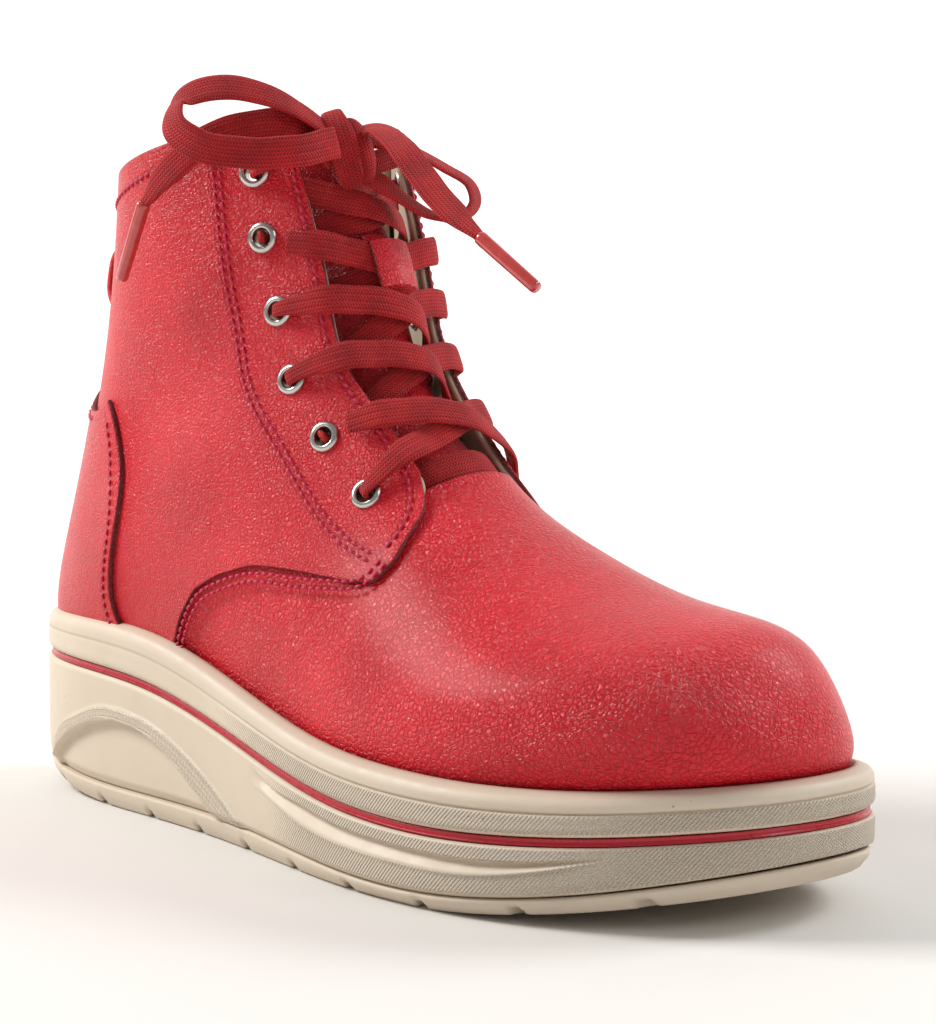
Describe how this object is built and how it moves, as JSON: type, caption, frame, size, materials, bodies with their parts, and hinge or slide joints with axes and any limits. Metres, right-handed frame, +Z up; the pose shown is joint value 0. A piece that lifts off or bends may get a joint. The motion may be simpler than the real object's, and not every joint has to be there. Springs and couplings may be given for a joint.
{
  "type": "lace-up ankle boot",
  "caption": "Right ankle boot of pebbled leather with a round toe, lace-up front with bow, padded collar, rear pull loop and a thick rocker wedge sole.",
  "frame": {"origin": "middle of the boot's box, without the loose bow and lace ends, on the floor the sole stands on", "axes": "+X to the toe, +Y to the inner (medial) side, +Z up"},
  "size_m": [0.2763, 0.103, 0.1956],
  "materials": {
    "sole_rubber": "matte moulded foam rubber",
    "stripe_red": "gloss inlaid band",
    "steel": "brushed",
    "board": "pressed fibre board",
    "footbed": "soft covered foam",
    "stiffener": "moulded sheet",
    "leather_red": "pebbled, semi-gloss",
    "lining": "soft lining",
    "foam": "open foam",
    "eyelet_metal": "satin nickel",
    "lace": "flat woven lace",
    "aglet": "clear tinted tip"
  },
  "bodies": {
    "boot": {"aglet_inner": "aglet", "aglet_outer": "aglet", "bow_knot": "lace", "bow_loop_inner": "lace", "bow_loop_outer": "lace", "eyelet_inner_1": "eyelet_metal", "eyelet_inner_2": "eyelet_metal", "eyelet_inner_3": "eyelet_metal", "eyelet_inner_4": "eyelet_metal", "eyelet_inner_5": "eyelet_metal", "eyelet_inner_6": "eyelet_metal", "eyelet_outer_1": "eyelet_metal", "eyelet_outer_2": "eyelet_metal", "eyelet_outer_3": "eyelet_metal", "eyelet_outer_4": "eyelet_metal", "eyelet_outer_5": "eyelet_metal", "eyelet_outer_6": "eyelet_metal", "facing_lining_inner": "lining", "facing_lining_outer": "lining", "footbed": "footbed", "heel_patch": "leather_red", "heel_stiffener": "stiffener", "insole_board": "board", "lace_bar": "lace", "lace_end_inner": "lace", "lace_end_outer": "lace", "lace_keeper_inner": "lace", "lace_keeper_outer": "lace", "lace_low_inner": "lace", "lace_low_outer": "lace", "lace_toe_inner": "lace", "lace_toe_outer": "lace", "lace_top_inner": "lace", "lace_top_outer": "lace", "midsole_lower": "sole_rubber", "midsole_upper": "sole_rubber", "outsole": "sole_rubber", "pull_strap": "leather_red", "quarter_inner": "leather_red", "quarter_lining_inner": "lining", "quarter_lining_outer": "lining", "quarter_outer": "leather_red", "quarter_padding_inner": "foam", "quarter_padding_outer": "foam", "shank": "steel", "sole_stripe": "stripe_red", "strap_plate": "steel", "toe_puff": "stiffener", "vamp": "leather_red", "vamp_lining": "lining"},
    "tongue": {"tongue_leather": "leather_red", "tongue_foam": "foam", "tongue_lining": "lining", "tongue_keeper": "leather_red"}
  },
  "joints": [
    {"name": "tongue_swing", "type": "hinge", "parent": "boot", "child": "tongue", "pos_m": [0.03566, 0, 0.092], "axis": [0, 1, 0], "range_deg": [-12, 0], "deforming": ["lace_keeper_outer", "lace_keeper_inner", "lace_low_inner", "lace_low_outer"]}
  ]
}
